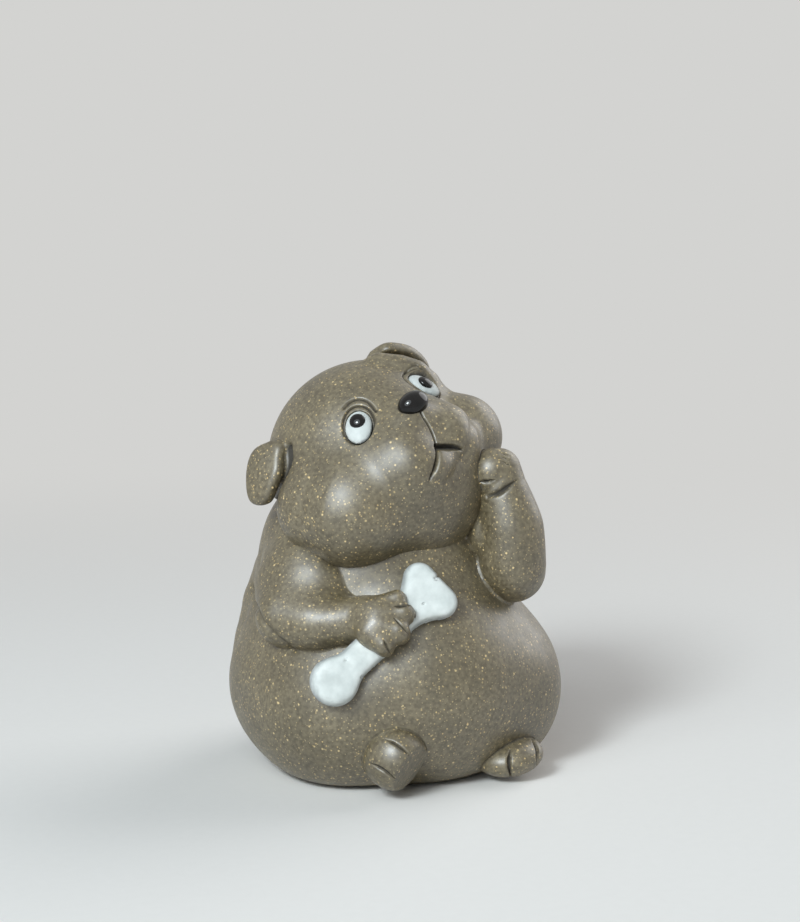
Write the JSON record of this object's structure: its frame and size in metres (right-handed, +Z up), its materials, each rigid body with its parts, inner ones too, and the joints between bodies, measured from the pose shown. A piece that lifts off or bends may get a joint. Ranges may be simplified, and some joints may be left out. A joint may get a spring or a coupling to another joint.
{
  "type": "tea pet",
  "caption": "Seated clay dog for a tea tray, head tilted up, one paw at its cheek and the other holding a white bone; hollow, with a vent in its flat base.",
  "frame": {"origin": "on the flat underside, below the middle of the body", "axes": "+Z up, the dog faces -Y, its left side is +X"},
  "size_m": [0.0504, 0.0549, 0.0657],
  "materials": {
    "clay": "unglazed fired clay, rubbed to a soft sheen, with fine ochre grains",
    "white_slip": "white slip, slightly worn",
    "black_glaze": "glossy black glaze"
  },
  "bodies": {
    "root": {"body_shell": "clay", "base_plate": "clay", "head_shell": "clay", "right_ear": "clay", "left_ear": "clay", "lower_jaw": "clay", "right_arm": "clay", "right_paw": "clay", "left_arm": "clay", "left_paw": "clay", "right_foot": "clay", "left_foot": "clay", "tail": "clay", "bone": "white_slip", "right_eye_white": "white_slip", "left_eye_white": "white_slip", "right_pupil": "black_glaze", "left_pupil": "black_glaze", "nose": "black_glaze"}
  },
  "joints": []
}
